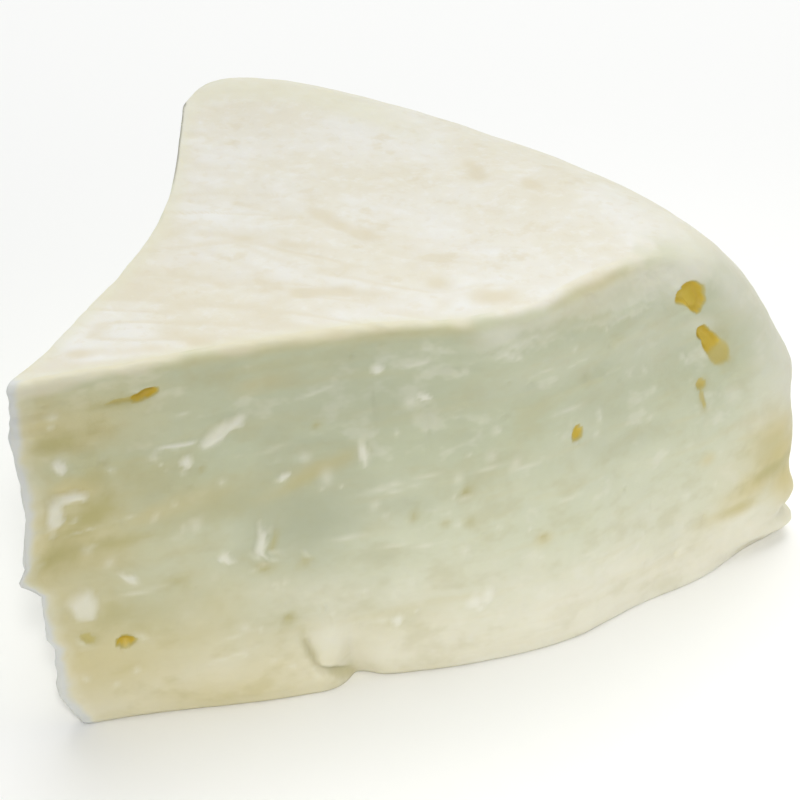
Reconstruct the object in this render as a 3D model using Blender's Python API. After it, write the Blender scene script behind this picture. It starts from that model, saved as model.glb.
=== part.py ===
# A hand-cut wedge of a small fresh white cheese wheel, in metres, +Z up, resting on its flat foot.
# The apex, where the two cuts meet, is at -X. The front cut faces -Y and bends back a little near the rim,
# the rim is at +X and +Y, and the hollowed left cut faces -X.
#
# The plan is a sharp outline of four runs (front cut, its bent end, rim arc, left cut). A moving mean along
# that outline rounds each corner. The outline is carried up the wedge and drawn in over the rim's shoulder.

import math

import bmesh
import bpy
import numpy as np
from mathutils import Euler, Vector

MM = 0.001

# Driving dimensions of the wheel and the wedge
WHEEL_RADIUS = 94.0 * MM
WHEEL_HEIGHT = 42.1 * MM
FRONT_CORNER_ANGLE = 14.7     # degrees from the front cut to the corner where the rim starts
BACK_CORNER_ANGLE = 69.0      # degrees from the front cut to the corner where the rim ends
SHOULDER_IN = 21.7 * MM       # how far the rim's shoulder draws in under the top
SHOULDER_DOWN = 30.4 * MM     # how far down the rim the shoulder starts
RIM_FOOT_IN = 1.4 * MM        # how far the rim draws in at its foot
RIM_FOOT_HEIGHT = 11.6 * MM   # height over which it does so
CUT_EDGE_ROUND = 1.2 * MM     # rounding where a cut meets the top
FOOT_ROUND = 0.5 * MM

# The front cut runs straight to a bend, then turns towards the rim
BEND_AT_FOOT = Vector((55.6, 5.0)) * MM
BEND_AT_TOP = Vector((53.5, 6.3)) * MM
BENT_RUN = 42.0 * MM          # length along the outline from the bend to the front corner
HOLLOW_AT_FOOT = 3.2 * MM     # how deep the left cut is hollowed
HOLLOW_AT_TOP = 5.9 * MM

# The apex edge leans in towards the foot and steps back where a flake broke off
APEX_BACK_AT_FOOT = 0.6 * MM
APEX_PROFILE = np.array((     # height and set-back
    (0.0, 5.8), (1.4, 5.2), (2.4, 4.5), (3.4, 3.8), (4.2, 3.4), (8.0, 3.1), (10.0, 3.1), (11.3, 2.3),
    (14.2, 1.9), (16.8, 1.8), (17.6, 0.8), (18.4, -0.4), (20.1, 0.4), (24.0, 0.6), (27.0, 1.05),
    (30.0, 0.9), (33.0, 0.2), (36.0, 0.35), (41.0, 0.35), (42.1, -0.2),
)) * MM

# Reach of the moving mean that rounds each corner
ROUND_APEX = 1.5 * MM
ROUND_BEND = 10.3 * MM
ROUND_FRONT_AT_FOOT = 2.5 * MM
ROUND_FRONT_AT_TOP = 8.3 * MM
ROUND_BACK = 7.8 * MM

# How finely the outline and the height are divided
STATIONS = 108
WALL_ROWS = 11
SHOULDER_ROWS = 18
LOWEST_WALL_ROW = 1.2 * MM
LEDGE_ROWS = np.array((16.6, 18.5)) * MM     # extra rows at the step of the apex edge
FOOT_ROWS = np.array((0.0, 0.35, 1.0)) * FOOT_ROUND
TOP_RINGS = (0.88, 0.72, 0.54, 0.36, 0.18)
MEAN_STEPS = 13
DIRECTION_STEP = 0.4 * MM     # half the distance over which the outline's direction is taken

# Unevenness of the hand-made surface
WAVE_SEED = 7
WAVE_COUNT = 7
WAVE_LENGTH = 26.0 * MM
WAVE_LENGTH_SPREAD = (0.45, 1.3)
FOOT_WAVE_HEIGHT = 1.5 * MM   # the side waves fade below this height
FOOT_WAVE_LEFT = 0.35         # to this share
CUT_WAVE = 0.30 * MM
TOP_WAVE = 0.35 * MM
LIFT_DEPTH = 6.0 * MM         # how far under the top its rise and fall dies out

# The crack in the foot of the front cut: the cheese left of it stands proud, most at the foot
CRACK_STATION = 33.0 * MM
CRACK_WIDTH = 0.4 * MM
CRACK_STEP = 0.8 * MM
CRACK_STEP_HEIGHT = 9.0 * MM

# Dents and swellings of the sides: station from the apex, height, half length, half height, depth outwards
SWELLS = (
    (6.0, 21.0, 5.0, 3.4, -1.1),     # hollow beside the apex
    (30.0, 42.0, 14.0, 10.0, -0.9),  # the cut's top edge draws back before the bend
    (55.0, 42.0, 9.0, 8.0, 0.9),     # and stands out on it
    (31.7, 5.1, 3.0, 2.6, 0.9),      # rounded bump over the foot
    (49.0, 8.6, 3.0, 1.8, 0.5),      # cluster of curd
    (94.0, 9.0, 6.0, 2.2, -0.35),    # shallow hollow round the rim's foot
    (97.0, 6.0, 5.0, 1.4, 0.6),      # rib under it
    (99.0, 3.7, 4.0, 0.8, -0.9),     # notch between the rib and the lip
    (98.0, 2.1, 7.0, 0.9, 1.0),      # lip at the foot of the front corner
    (94.0, 0.0, 8.0, 1.5, -1.0),     # and the undercut below it
    (6.0, 0.0, 11.0, 7.0, -1.2),     # the foot draws in beside the apex
    (33.9, 0.0, 2.4, 5.0, -1.8),     # and right of the crack
    (38.5, 0.0, 4.0, 6.0, -0.35),
    (60.0, 0.0, 10.0, 7.0, 0.6),     # and fills out again under the bend
    (82.0, 0.0, 7.0, 7.0, 0.9),      # and towards the front corner
    (115.0, 38.5, 7.0, 4.0, 0.35),   # low bumps and flats round the rim
    (98.0, 22.5, 6.0, 2.5, 0.7),
    (147.0, 28.0, 15.0, 13.0, -0.6),
    (178.0, 28.0, 10.0, 13.0, 0.6),
)

# Broad rises and falls of the top towards its far edge: place in plan, reach, lift
TOP_SWELLS = (
    (41.0, 69.0, 12.0, 0.7),
    (61.0, 52.0, 11.0, -0.75),
    (75.0, 34.0, 9.0, 0.15),
)

# Open eyes cut into the faces: station, height, half width, half height, depth, turn in degrees
EYES = (
    (87.0, 36.2, 2.0, 1.4, 1.5, -20.0),
    (85.4, 29.6, 1.3, 2.5, 1.5, 30.0),
    (82.2, 25.3, 0.6, 0.8, 1.1, 0.0),
    (63.3, 25.0, 0.65, 1.0, 1.2, 0.0),
    (8.8, 10.0, 1.1, 0.7, 1.1, 10.0),
    (13.4, 39.0, 3.0, 0.55, 1.0, 8.0),
    (31.2, 4.2, 0.45, 4.4, 1.2, 38.0),
)

# Flakes of curd standing on the faces: station, height, half width, half height, half thickness, turn
FLAKES = (
    (22.9, 33.7, 2.9, 0.8, 0.7, 28.0),
    (26.0, 19.8, 0.6, 2.1, 0.6, 0.0),
    (22.2, 18.5, 0.8, 1.1, 0.5, 0.0),
    (5.2, 28.4, 2.5, 0.9, 0.7, 0.0),
    (3.7, 26.8, 0.8, 2.1, 0.7, 0.0),
    (6.1, 15.3, 1.7, 1.4, 0.7, 45.0),
    (37.3, 28.9, 0.8, 1.6, 0.4, 0.0),
    (39.6, 7.3, 1.0, 0.8, 0.4, 10.0),
)

CHEESE_COLOUR = (0.80, 0.76, 0.62, 1.0)
CHEESE_ROUGHNESS = 0.55
SHARP_ANGLE = 40.0            # edges that turn more than this many degrees stay crisp
FLAKE_SINK = 0.05             # how far a flake's middle lies under the face, in mm

# Lengths of the four runs of the outline, and the stations at their ends
FRONT_RUN = BEND_AT_FOOT.x
RIM_RUN = WHEEL_RADIUS * math.radians(BACK_CORNER_ANGLE - FRONT_CORNER_ANGLE)
LEFT_RUN = WHEEL_RADIUS
CORNERS = np.cumsum([0.0, FRONT_RUN, BENT_RUN, RIM_RUN, LEFT_RUN])
OUTLINE_LENGTH = CORNERS[-1]

# Where stations lie closer together: station, reach, gain in density
CLOSER_STATIONS = (
    (CORNERS[0], 3.0 * MM, 5.0),
    (CORNERS[4], 3.0 * MM, 5.0),
    (CORNERS[3], 9.0 * MM, 1.4),
    (CORNERS[2], 10.0 * MM, 0.8),
    (CRACK_STATION, 3.0 * MM, 2.0),
)
FINE_STATIONS = 2000


def clear_scene():
    for old in list(bpy.data.objects):
        bpy.data.objects.remove(old, do_unlink=True)


def quarter_inset(part_up, width):
    """Inset of a quarter ellipse: nothing at part_up 0, the whole width at part_up 1."""
    part_up = np.clip(part_up, 0.0, 1.0)
    return width * (1.0 - np.sqrt(1.0 - part_up ** 2))


def edge_inset(height):
    """How far the cut faces draw in at their top edge and at their foot."""
    at_top = quarter_inset((height - WHEEL_HEIGHT + CUT_EDGE_ROUND) / CUT_EDGE_ROUND, CUT_EDGE_ROUND)
    at_foot = quarter_inset(1.0 - height / FOOT_ROUND, FOOT_ROUND)
    return at_top + at_foot


def rim_radius(height):
    """The wheel's radius at a height: a rounded shoulder over a wall drawn in at its foot."""
    shoulder_start = WHEEL_HEIGHT - SHOULDER_DOWN
    shoulder = quarter_inset((height - shoulder_start) / SHOULDER_DOWN, SHOULDER_IN)
    foot = RIM_FOOT_IN * np.clip(1.0 - height / RIM_FOOT_HEIGHT, 0.0, 1.0) ** 2
    return WHEEL_RADIUS - shoulder - foot - quarter_inset(1.0 - height / FOOT_ROUND, FOOT_ROUND)


def sharp_outline(station, height):
    """Point of the sharp plan at a station along it and a height; both are arrays of one shape."""
    up = height / WHEEL_HEIGHT
    inset = edge_inset(height)
    apex = np.stack([
        np.interp(height, *APEX_PROFILE.T) + inset,
        APEX_BACK_AT_FOOT * (1.0 - up) + inset,
    ], axis=-1)
    bend = np.array(BEND_AT_FOOT) + (np.array(BEND_AT_TOP) - np.array(BEND_AT_FOOT)) * up[..., None]
    bend[..., 1] += inset
    radius = rim_radius(height)
    first = math.radians(FRONT_CORNER_ANGLE)
    last = math.radians(BACK_CORNER_ANGLE)
    front_corner = np.stack([radius * math.cos(first), radius * math.sin(first)], axis=-1)
    back_corner = np.stack([radius * math.cos(last), radius * math.sin(last)], axis=-1)

    along = np.mod(station, OUTLINE_LENGTH)
    run = np.clip(np.searchsorted(CORNERS, along, side="right") - 1, 0, 3)
    part = (along - CORNERS[run]) / np.diff(CORNERS)[run]
    angle = first + (last - first) * part
    rim = np.stack([radius * np.cos(angle), radius * np.sin(angle)], axis=-1)
    part = part[..., None]
    chord = apex - back_corner
    inward = np.stack([-chord[..., 1], chord[..., 0]], axis=-1)
    inward /= np.linalg.norm(inward, axis=-1, keepdims=True)
    hollow = (HOLLOW_AT_FOOT + (HOLLOW_AT_TOP - HOLLOW_AT_FOOT) * up)[..., None]
    left = back_corner + part * chord + inward * hollow * 4.0 * part * (1.0 - part)
    run = run[..., None]
    return np.select(
        [run == 0, run == 1, run == 2],
        [apex + part * (bend - apex), bend + part * (front_corner - bend), rim],
        left,
    )


def soft_outline(station, height):
    """The sharp plan averaged along itself, over a reach that differs from corner to corner."""
    up = height / WHEEL_HEIGHT
    along = np.mod(station, OUTLINE_LENGTH)
    reach = np.interp(along, CORNERS, [ROUND_APEX, ROUND_BEND, 0.0, ROUND_BACK, ROUND_APEX])
    front_reach = ROUND_FRONT_AT_FOOT + (ROUND_FRONT_AT_TOP - ROUND_FRONT_AT_FOOT) * up
    reach = reach + front_reach * np.interp(along, CORNERS, [0.0, 0.0, 1.0, 0.0, 0.0])
    steps = np.linspace(-1.0, 1.0, MEAN_STEPS)
    return sum(sharp_outline(station + step * reach, height) for step in steps) / MEAN_STEPS


def waves(points, seed):
    """Smooth unevenness between about -1 and 1: a few sine waves in seeded directions."""
    rng = np.random.default_rng(seed)
    total = np.zeros(points.shape[:-1])
    for _ in range(WAVE_COUNT):
        direction = rng.normal(size=3)
        direction /= np.linalg.norm(direction)
        length = WAVE_LENGTH * rng.uniform(*WAVE_LENGTH_SPREAD)
        total += np.sin(points @ direction * 2.0 * math.pi / length + rng.uniform(0.0, 2.0 * math.pi))
    return total / math.sqrt(WAVE_COUNT)


def foot_step(station, height):
    """How far the cheese left of the crack stands proud of the rest."""
    left_part = 1.0 / (1.0 + np.exp((station - CRACK_STATION) / CRACK_WIDTH))
    return CRACK_STEP * left_part * np.clip(1.0 - height / CRACK_STEP_HEIGHT, 0.0, 1.0)


def side_relief(station, height, points):
    """How far the sides stand out from the smooth wedge."""
    near_foot = np.clip(height / FOOT_WAVE_HEIGHT, FOOT_WAVE_LEFT, 1.0)
    out = CUT_WAVE * waves(points, WAVE_SEED) * near_foot
    for middle, level, half_length, half_height, depth in SWELLS:
        across = (station / MM - middle) / half_length
        upward = (height / MM - level) / half_height
        out = out + depth * MM * np.exp(-(across ** 2 + upward ** 2))
    front = (station >= 0.0) & (station < CORNERS[1])
    out = out + np.where(front, foot_step(station, height), 0.0)
    return out


def side_points(station, height):
    """Points of the sides with their relief, and the outward direction in plan at each."""
    plan = soft_outline(station, height)
    tangent = soft_outline(station + DIRECTION_STEP, height) - soft_outline(station - DIRECTION_STEP, height)
    tangent /= np.linalg.norm(tangent, axis=-1, keepdims=True)
    outward = np.stack([tangent[..., 1], -tangent[..., 0]], axis=-1)
    flat = np.concatenate([plan, height[..., None]], axis=-1)
    plan = plan + outward * side_relief(station, height, flat)[..., None]
    lift = top_relief(plan) * np.clip(1.0 - (WHEEL_HEIGHT - height) / LIFT_DEPTH, 0.0, 1.0)
    return np.concatenate([plan, (height + lift)[..., None]], axis=-1), outward


def top_relief(plan):
    """Rise and fall of the top, the same all through its thickness."""
    level = np.concatenate([plan, np.zeros(plan.shape[:-1] + (1,))], axis=-1)
    rise = TOP_WAVE * waves(level, WAVE_SEED + 1)
    for x, y, reach, lift in TOP_SWELLS:
        away = np.linalg.norm(plan / MM - (x, y), axis=-1)
        rise = rise + lift * MM * np.exp(-(away / reach) ** 2)
    return rise


def outline_stations():
    """Stations spaced closer where the outline turns sharply."""
    fine = np.linspace(0.0, OUTLINE_LENGTH, FINE_STATIONS)
    density = np.ones_like(fine)
    for middle, reach, gain in CLOSER_STATIONS:
        density += gain * np.exp(-((fine - middle) / reach) ** 2)
    count = np.concatenate([[0.0], np.cumsum((density[1:] + density[:-1]) / 2.0)])
    return np.interp(np.arange(STATIONS) / STATIONS * count[-1], count, fine)


def row_heights():
    """Heights of the rings: even up the wall, closer towards the top edge."""
    shoulder_start = WHEEL_HEIGHT - SHOULDER_DOWN
    wall = np.linspace(LOWEST_WALL_ROW, shoulder_start, WALL_ROWS, endpoint=False)
    turn = np.linspace(0.0, math.pi / 2.0, SHOULDER_ROWS)
    shoulder = shoulder_start + SHOULDER_DOWN * np.sin(turn)
    return np.sort(np.concatenate([FOOT_ROWS, wall, shoulder, LEDGE_ROWS]))


def join_rings(mesh, lower, upper):
    """Quads between two rings, point by point."""
    for i in range(len(lower)):
        after = (i + 1) % len(lower)
        mesh.faces.new((lower[i], lower[after], upper[after], upper[i]))


def build_wedge():
    """Join the rings of the sides and the top, then close the foot flat and the top with a fan."""
    stations = outline_stations()
    heights = row_heights()
    station, height = np.meshgrid(stations, heights)
    points, _ = side_points(station, height)
    mesh = bmesh.new()
    rings = [[mesh.verts.new(point) for point in row] for row in points]
    rim_of_top = points[-1]
    middle = rim_of_top[:, :2].mean(axis=0)
    for scale in TOP_RINGS:
        plan = middle + (rim_of_top[:, :2] - middle) * scale
        level = WHEEL_HEIGHT + top_relief(plan)
        rings.append([mesh.verts.new(point) for point in np.column_stack([plan, level])])
    for lower, upper in zip(rings[:-1], rings[1:]):
        join_rings(mesh, lower, upper)
    mesh.faces.new(list(reversed(rings[0])))
    peak = mesh.verts.new((*middle, WHEEL_HEIGHT + top_relief(middle)))
    last = rings[-1]
    for i, vert in enumerate(last):
        mesh.faces.new((vert, last[(i + 1) % len(last)], peak))
    bmesh.ops.recalc_face_normals(mesh, faces=mesh.faces[:])
    bmesh.ops.triangulate(mesh, faces=[face for face in mesh.faces if len(face.verts) > 3])
    data = bpy.data.meshes.new("cheese")
    mesh.to_mesh(data)
    mesh.free()
    wedge = bpy.data.objects.new("cheese", data)
    bpy.context.collection.objects.link(wedge)
    return wedge


def add_lump(name, collection, station, height, half_sizes, turn, sink):
    """A stretched ball on a side face, its thickness along the face's outward direction."""
    here = np.array([[station * MM]])
    points, outward = side_points(here, np.array([[height * MM]]))
    place = Vector(points[0, 0])
    facing = math.atan2(outward[0, 0, 1], outward[0, 0, 0]) + math.pi / 2.0
    mesh = bmesh.new()
    bmesh.ops.create_icosphere(mesh, subdivisions=2, radius=1.0)
    bmesh.ops.scale(mesh, verts=mesh.verts, vec=Vector(half_sizes) * MM)
    tilt = Euler((0.0, math.radians(-turn), 0.0)).to_matrix()
    bmesh.ops.rotate(mesh, verts=mesh.verts, matrix=tilt)
    bmesh.ops.rotate(mesh, verts=mesh.verts, matrix=Euler((0.0, 0.0, facing)).to_matrix())
    inward = Vector((-outward[0, 0, 0], -outward[0, 0, 1], 0.0))
    bmesh.ops.translate(mesh, verts=mesh.verts, vec=place + inward * sink * MM)
    data = bpy.data.meshes.new(name)
    mesh.to_mesh(data)
    mesh.free()
    lump = bpy.data.objects.new(name, data)
    lump.hide_render = True
    lump.display_type = "WIRE"
    collection.objects.link(lump)
    return lump


def apply_boolean(wedge, collection, operation):
    """One Boolean with every object of the collection, applied, and the collection emptied."""
    step = wedge.modifiers.new(operation.lower(), "BOOLEAN")
    step.operation = operation
    step.operand_type = "COLLECTION"
    step.collection = collection
    step.solver = "EXACT"
    depsgraph = bpy.context.evaluated_depsgraph_get()
    result = bpy.data.meshes.new_from_object(wedge.evaluated_get(depsgraph))
    wedge.modifiers.clear()
    wedge.data = result
    for used in list(collection.objects):
        bpy.data.objects.remove(used, do_unlink=True)
    bpy.data.collections.remove(collection)


def new_collection(name):
    collection = bpy.data.collections.new(name)
    bpy.context.scene.collection.children.link(collection)
    return collection


def add_flakes(wedge):
    collection = new_collection("flakes")
    for number, (station, height, wide, tall, thick, turn) in enumerate(FLAKES):
        add_lump(f"flake_{number}", collection, station, height, (wide, thick, tall), turn, FLAKE_SINK)
    apply_boolean(wedge, collection, "UNION")


def cut_eyes(wedge):
    collection = new_collection("eyes")
    for number, (station, height, wide, tall, deep, turn) in enumerate(EYES):
        add_lump(f"eye_{number}", collection, station, height, (wide, deep, tall), turn, 0.0)
    apply_boolean(wedge, collection, "DIFFERENCE")


def cheese_material():
    material = bpy.data.materials.new("fresh_cheese")
    material.use_nodes = True
    shader = material.node_tree.nodes["Principled BSDF"]
    shader.inputs["Base Color"].default_value = CHEESE_COLOUR
    shader.inputs["Roughness"].default_value = CHEESE_ROUGHNESS
    shader.inputs["Metallic"].default_value = 0.0
    return material


def centre_on_foot(wedge):
    """Put the origin under the middle of the wedge's box, on the plane that it rests on."""
    corners = np.array([vert.co for vert in wedge.data.vertices])
    low = corners.min(axis=0)
    high = corners.max(axis=0)
    shift = Vector((-(low[0] + high[0]) / 2.0, -(low[1] + high[1]) / 2.0, -low[2]))
    mesh = bmesh.new()
    mesh.from_mesh(wedge.data)
    bmesh.ops.translate(mesh, verts=mesh.verts, vec=shift)
    mesh.to_mesh(wedge.data)
    mesh.free()
    print("box", [round(value / MM, 2) for value in high - low], "shift", [round(v / MM, 3) for v in shift])


clear_scene()
cheese = build_wedge()
add_flakes(cheese)
cut_eyes(cheese)
centre_on_foot(cheese)
cheese.data.materials.clear()
cheese.data.materials.append(cheese_material())
cheese.data.shade_smooth()
cheese.data.set_sharp_from_angle(angle=math.radians(SHARP_ANGLE))
print("triangles", len(cheese.data.polygons))
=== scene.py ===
import math

import bpy
import numpy as np
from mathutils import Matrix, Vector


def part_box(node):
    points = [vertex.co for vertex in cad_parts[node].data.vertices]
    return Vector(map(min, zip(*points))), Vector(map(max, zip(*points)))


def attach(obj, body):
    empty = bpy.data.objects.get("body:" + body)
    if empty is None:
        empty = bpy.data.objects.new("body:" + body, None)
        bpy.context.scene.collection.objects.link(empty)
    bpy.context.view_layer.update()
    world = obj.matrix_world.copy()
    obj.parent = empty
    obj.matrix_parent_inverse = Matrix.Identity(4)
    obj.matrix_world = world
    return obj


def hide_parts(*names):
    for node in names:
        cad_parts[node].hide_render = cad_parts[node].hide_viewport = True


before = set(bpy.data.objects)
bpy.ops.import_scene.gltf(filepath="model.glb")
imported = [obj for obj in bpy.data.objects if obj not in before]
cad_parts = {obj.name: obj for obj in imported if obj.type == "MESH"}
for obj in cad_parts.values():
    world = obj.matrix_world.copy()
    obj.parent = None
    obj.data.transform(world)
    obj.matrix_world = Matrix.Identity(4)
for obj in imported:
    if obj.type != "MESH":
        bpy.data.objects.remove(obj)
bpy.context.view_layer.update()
print("frame loaded")

mm = 0.001  # shapes are worked out in millimetres from the wheel's centre and turned into metres at the end

# The wedge: a sector of a low wheel, cut twice. Sizes in mm, angles in degrees from the front cut.
wedge = dict(
    radius=94.0, height=42.1, frontAngle=14.7, backAngle=69.0,
    shoulderIn=21.7, shoulderDown=30.4, footIn=1.4, footHeight=11.6,
    cutRound=1.2, footRound=0.5, bentRun=42.0,
    bendLow=(55.6, 5.0), bendHigh=(53.5, 6.3), hollowLow=3.2, hollowHigh=5.9,
    apexBackLow=0.6,
    apexProfile=(  # heights, then set-backs
        (0.0, 1.4, 2.4, 3.4, 4.2, 8.0, 10.0, 11.3, 14.2, 16.8, 17.6, 18.4, 20.1, 24.0, 27.0, 30.0, 33.0, 36.0,
         41.0, 42.1),
        (5.8, 5.2, 4.5, 3.8, 3.4, 3.1, 3.1, 2.3, 1.9, 1.8, 0.8, -0.4, 0.4, 0.6, 1.05, 0.9, 0.2, 0.35,
         0.35, -0.2),
    ),
    roundApex=1.5, roundBend=10.3, roundFrontLow=2.5, roundFrontHigh=8.3, roundBack=7.8,
    crackStation=33.0, crackWidth=0.4, crackStep=0.8, crackReach=9.0,
)

# Broad dents and swellings: station along the outline, height, half length, half height, depth outwards
swells = (
    (6.0, 21.0, 5.0, 3.4, -1.1), (30.0, 42.0, 14.0, 10.0, -0.9), (55.0, 42.0, 9.0, 8.0, 0.9),
    (31.7, 5.1, 3.0, 2.6, 0.9), (49.0, 8.6, 3.0, 1.8, 0.5),
    (94.0, 9.0, 6.0, 2.2, -0.35), (97.0, 6.0, 5.0, 1.4, 0.6), (99.0, 3.7, 4.0, 0.8, -0.9),
    (98.0, 2.1, 7.0, 0.9, 1.0), (94.0, 0.0, 8.0, 1.5, -1.0), (6.0, 0.0, 11.0, 7.0, -1.2),
    (33.9, 0.0, 2.4, 5.0, -1.8), (38.5, 0.0, 4.0, 6.0, -0.35), (60.0, 0.0, 10.0, 7.0, 0.6),
    (82.0, 0.0, 7.0, 7.0, 0.9), (115.0, 38.5, 7.0, 4.0, 0.35), (98.0, 22.5, 6.0, 2.5, 0.7),
    (147.0, 28.0, 15.0, 13.0, -0.6), (178.0, 28.0, 10.0, 13.0, 0.6),
)

# Broad rises and falls of the top: place in plan, reach, lift
topSwells = ((41.0, 69.0, 12.0, 0.7), (61.0, 52.0, 11.0, -0.75), (75.0, 34.0, 9.0, 0.15))

# How finely the surface is divided, then how dense its columns and rows are, and how uneven it is in mm
fineness = dict(
    columns=500, wallRows=32, shoulderRows=96, topRings=56, footRings=7, meanSteps=13, tangentReach=0.4,
    countedAt=4000, plain=0.55, onFront=0.9, frontEnd=(92.0, 118.0), onBack=0.25, backStart=(180.0, 190.0),
    footCrowding=1.15,
)
unevenness = dict(
    waveSeed=7, waveCount=7, waveLength=26.0, waveSpread=(0.45, 1.3), cutWave=0.30, topWave=0.35, liftDepth=6.0,
    footReach=1.5, footLeast=0.35,
)

runLengths = [
    wedge["bendLow"][0], wedge["bentRun"],
    wedge["radius"] * math.radians(wedge["backAngle"] - wedge["frontAngle"]), wedge["radius"],
]
corners = np.cumsum([0.0] + runLengths)  # stations of the apex, the bend, the front corner, the back corner
outlineLength = corners[-1]

# Where columns crowd together: station, reach, gain
crowded = ((0.0, 2.5, 3.0), (outlineLength, 2.5, 3.0), (85.0, 4.5, 1.0), (33.0, 2.5, 0.8))

# Seeds of the noise layers
seeds = dict(ragged=31, skinEdge=37, drag=51, crumb=61, patchy=71, rind=81, cloth=95, broken=97)


def quarterInset(partUp, width):
    # quarter ellipse: nothing at 0, the whole width at 1
    partUp = np.clip(partUp, 0.0, 1.0)
    return width * (1.0 - np.sqrt(1.0 - partUp ** 2))


def smoothStep(value, low, high):
    # 0 below low, 1 above high, 3t^2 - 2t^3 between
    part = np.clip((value - low) / (high - low), 0.0, 1.0)
    return part * part * (3.0 - 2.0 * part)


def latticeNoise(points, seed):
    # random numbers at whole coordinates, joined by smooth steps: about -1 to 1
    size = 40
    table = np.random.default_rng(seed).uniform(-1.0, 1.0, (size, size, size))
    cell = np.floor(points).astype(int)
    part = points - cell
    part = part * part * (3.0 - 2.0 * part)
    total = 0.0
    for corner in np.ndindex(2, 2, 2):
        index = (cell + np.array(corner)) % size
        weight = np.prod(np.where(np.array(corner) == 1, part, 1.0 - part), axis=-1)
        total = total + weight * table[index[..., 0], index[..., 1], index[..., 2]]
    return total


def layeredNoise(points, seed, layers=3):
    # each layer is half as wide and half as strong as the one before
    return sum(latticeNoise(points * 2.0 ** n, seed + n) / 2.0 ** n for n in range(layers))


def waves(points, seed):
    # sum of sine waves in seeded directions, over the root of their number
    rng = np.random.default_rng(seed)
    total = np.zeros(points.shape[:-1])
    for _ in range(unevenness["waveCount"]):
        direction = rng.normal(size=3)
        direction /= np.linalg.norm(direction)
        length = unevenness["waveLength"] * rng.uniform(*unevenness["waveSpread"])
        total += np.sin(points @ direction * 2.0 * math.pi / length + rng.uniform(0.0, 2.0 * math.pi))
    return total / math.sqrt(unevenness["waveCount"])


def rimRadius(height):
    # wheel radius, less a quarter ellipse over the shoulder and a square-law draw-in at the foot
    w = wedge
    shoulder = quarterInset((height - w["height"] + w["shoulderDown"]) / w["shoulderDown"], w["shoulderIn"])
    foot = w["footIn"] * np.clip(1.0 - height / w["footHeight"], 0.0, 1.0) ** 2
    return w["radius"] - shoulder - foot - quarterInset(1.0 - height / w["footRound"], w["footRound"])


def sharpOutline(station, height):
    # four runs at each height: apex to bend, bend to front corner, rim arc, hollowed chord back to the apex
    w = wedge
    up = height / w["height"]
    inset = quarterInset((height - w["height"] + w["cutRound"]) / w["cutRound"], w["cutRound"])
    inset = inset + quarterInset(1.0 - height / w["footRound"], w["footRound"])
    apexX = np.interp(height, *w["apexProfile"]) + inset
    apex = np.stack([apexX, w["apexBackLow"] * (1.0 - up) + inset], axis=-1)
    low, high = np.array(w["bendLow"]), np.array(w["bendHigh"])
    bend = low + (high - low) * up[..., None]
    bend[..., 1] += inset
    radius = rimRadius(height)
    first, last = math.radians(w["frontAngle"]), math.radians(w["backAngle"])
    frontCorner = np.stack([radius * math.cos(first), radius * math.sin(first)], axis=-1)
    backCorner = np.stack([radius * math.cos(last), radius * math.sin(last)], axis=-1)
    along = np.mod(station, outlineLength)
    run = np.clip(np.searchsorted(corners, along, side="right") - 1, 0, 3)
    part = (along - corners[run]) / np.diff(corners)[run]
    angle = first + (last - first) * part
    rim = np.stack([radius * np.cos(angle), radius * np.sin(angle)], axis=-1)
    part = part[..., None]
    chord = apex - backCorner
    inward = np.stack([-chord[..., 1], chord[..., 0]], axis=-1)
    inward /= np.linalg.norm(inward, axis=-1, keepdims=True)
    hollow = (w["hollowLow"] + (w["hollowHigh"] - w["hollowLow"]) * up)[..., None]
    left = backCorner + part * chord + inward * hollow * 4.0 * part * (1.0 - part)
    run = run[..., None]
    front = [apex + part * (bend - apex), bend + part * (frontCorner - bend), rim]
    return np.select([run == 0, run == 1, run == 2], front, left)


def softOutline(station, height):
    # mean of the sharp outline over a reach on each side that changes from corner to corner
    w = wedge
    up = height / w["height"]
    along = np.mod(station, outlineLength)
    reach = np.interp(along, corners, [w["roundApex"], w["roundBend"], 0.0, w["roundBack"], w["roundApex"]])
    frontReach = w["roundFrontLow"] + (w["roundFrontHigh"] - w["roundFrontLow"]) * up
    reach = reach + frontReach * np.interp(along, corners, [0.0, 0.0, 1.0, 0.0, 0.0])
    steps = np.linspace(-1.0, 1.0, fineness["meanSteps"])
    return sum(sharpOutline(station + step * reach, height) for step in steps) / len(steps)


# Every patch: station, height, half width, half height, then its strength and its turn in degrees
# Open eyes in the cut, with their depth in mm; those that touch run together
eyes = (
    (85.8, 36.7, 3.2, 1.1, 1.0, 6.0), (85.7, 35.8, 2.2, 1.3, 1.0, 0.0), (85.2, 35.0, 1.2, 1.0, 0.9, 0.0),
    (84.7, 31.2, 1.0, 1.2, 1.0, 35.0), (85.3, 29.7, 1.4, 1.4, 1.0, 30.0), (86.0, 28.1, 1.9, 1.6, 0.28, 20.0),
    (82.1, 25.2, 0.8, 0.7, 0.35, 0.0), (82.0, 23.4, 0.4, 1.4, 0.12, 4.0),
    (63.3, 25.0, 0.95, 0.95, 0.6, 0.0),
    (8.6, 9.8, 1.15, 0.7, 0.9, 8.0), (4.9, 10.9, 0.85, 0.6, 0.2, 0.0),
    (14.6, 38.8, 1.6, 0.6, 0.8, 12.0), (11.8, 38.5, 1.5, 0.3, 0.2, 3.0),
)

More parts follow.
